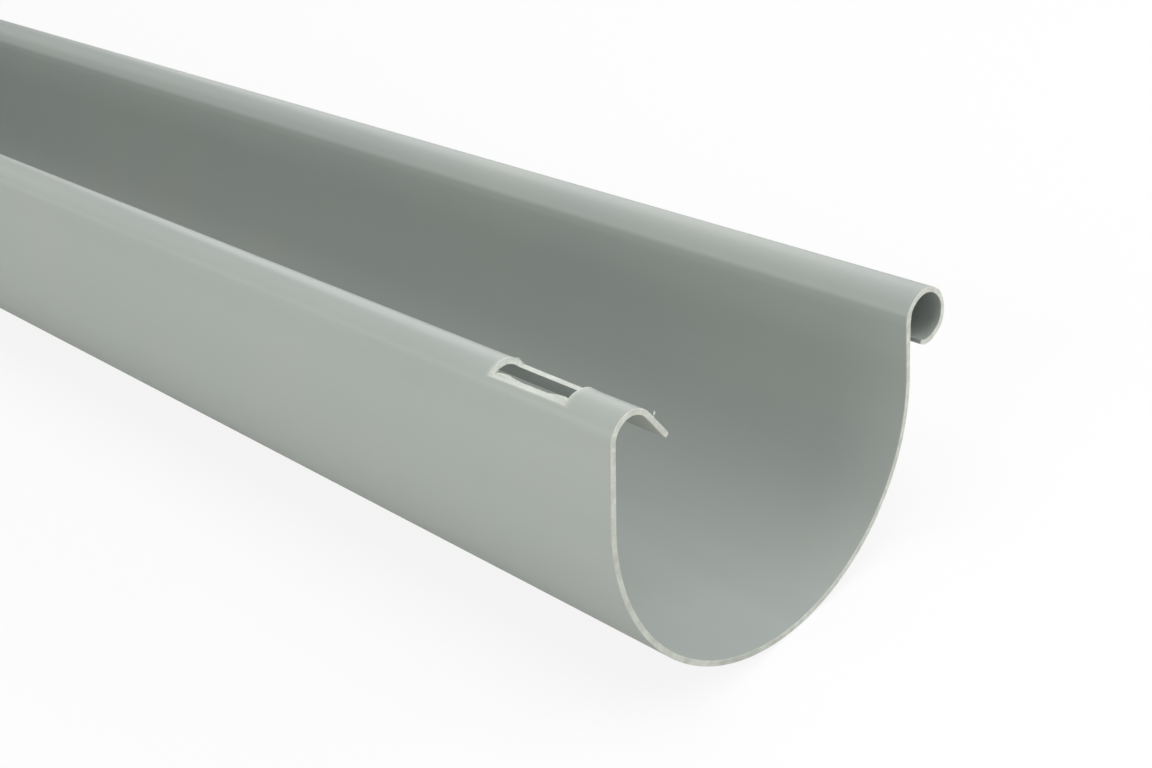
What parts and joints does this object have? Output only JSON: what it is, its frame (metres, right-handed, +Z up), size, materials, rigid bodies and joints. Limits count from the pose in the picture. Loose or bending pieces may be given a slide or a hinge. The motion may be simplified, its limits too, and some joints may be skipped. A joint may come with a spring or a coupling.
{
  "type": "half-round gutter length",
  "caption": "Straight half-round rain gutter length in grey rigid PVC, with a hooked back edge, an open round bead along the front and a short notch in the hook near one end.",
  "frame": {"origin": "on the floor under the middle of the length and of the width, with the gutter lying on its half-round as it comes to rest", "axes": "+Y runs along the gutter from the notched near end to the far end, +X points to the beaded front edge and +Z is up, out of the open trough; as it lies, the section is rolled 13.9 degrees towards the bead from its working position, in which the back wall is upright"},
  "size_m": [0.143, 2, 0.1057],
  "materials": {
    "pvc": "grey rigid PVC with a semi-gloss extruded skin"
  },
  "bodies": {
    "root": {"gutter": "pvc"}
  },
  "joints": []
}
